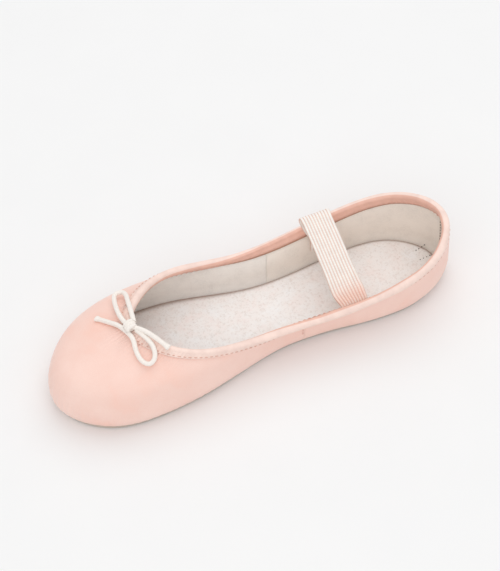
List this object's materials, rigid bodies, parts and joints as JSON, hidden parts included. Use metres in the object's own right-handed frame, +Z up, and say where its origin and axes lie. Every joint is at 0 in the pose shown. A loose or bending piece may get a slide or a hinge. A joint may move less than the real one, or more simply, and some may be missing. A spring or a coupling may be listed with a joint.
{
  "type": "ballet slipper",
  "caption": "Soft leather ballet slipper with a drawstring binding, a bow at the throat, an elastic instep strap and a full suede sole; it bends at the arch.",
  "frame": {"origin": "centre of the bounding box in plan, on the ground under the sole", "axes": "+Z up, +Y towards the heel, -Y towards the toe, +X towards the left-hand side of the foot"},
  "size_m": [0.0745, 0.235, 0.047],
  "materials": {
    "leather": "soft satin leather",
    "binding_leather": "soft satin leather, folded",
    "suede": "brushed suede",
    "lining_cloth": "matt woven cotton",
    "sock_cloth": "matt brushed cloth",
    "felt": "matt felt",
    "foam": "matt foam",
    "tape": "matt woven tape",
    "elastic": "ribbed elastic webbing",
    "cord": "soft cotton cord",
    "thread": "satin sewing thread",
    "thread_dark": "sewing thread"
  },
  "bodies": {
    "rear": {"outsole_heel": "suede", "bottom_filler_heel": "felt", "insole_foam_heel": "foam", "sock_lining_heel": "sock_cloth", "quarter_left": "leather", "quarter_right": "leather", "quarter_lining_left": "lining_cloth", "quarter_lining_right": "lining_cloth", "heel_stay_tape": "tape", "binding_heel": "binding_leather", "drawstring_heel": "cord", "binding_stitches_heel": "thread", "back_seam_stitches": "thread_dark", "strap_end_left": "elastic", "strap_end_right": "elastic", "strap_stitches": "thread"},
    "forepart": {"outsole_toe": "suede", "bottom_filler_toe": "felt", "insole_foam_toe": "foam", "sock_lining_toe": "sock_cloth", "vamp": "leather", "vamp_lining": "lining_cloth", "binding_throat": "binding_leather", "drawstring_throat": "cord", "bow_cord_left": "cord", "bow_cord_right": "cord", "bow_knot": "cord", "binding_stitches_throat": "thread", "side_seam_stitches": "thread"},
    "strap": {"elastic_strap": "elastic"}
  },
  "joints": [
    {"name": "arch_flex", "type": "hinge", "parent": "rear", "child": "forepart", "pos_m": [0, 0.021, 0], "axis": [1, 0, 0], "range_deg": [0, 28], "stiffness_Nm_per_rad": 0.6},
    {"name": "strap_swing", "type": "hinge", "parent": "rear", "child": "strap", "pos_m": [0.0232, 0.0502, 0.0228], "axis": [-0.9849, 0.0677, 0.1592], "range_deg": [-18, 18], "stiffness_Nm_per_rad": 0.02}
  ]
}
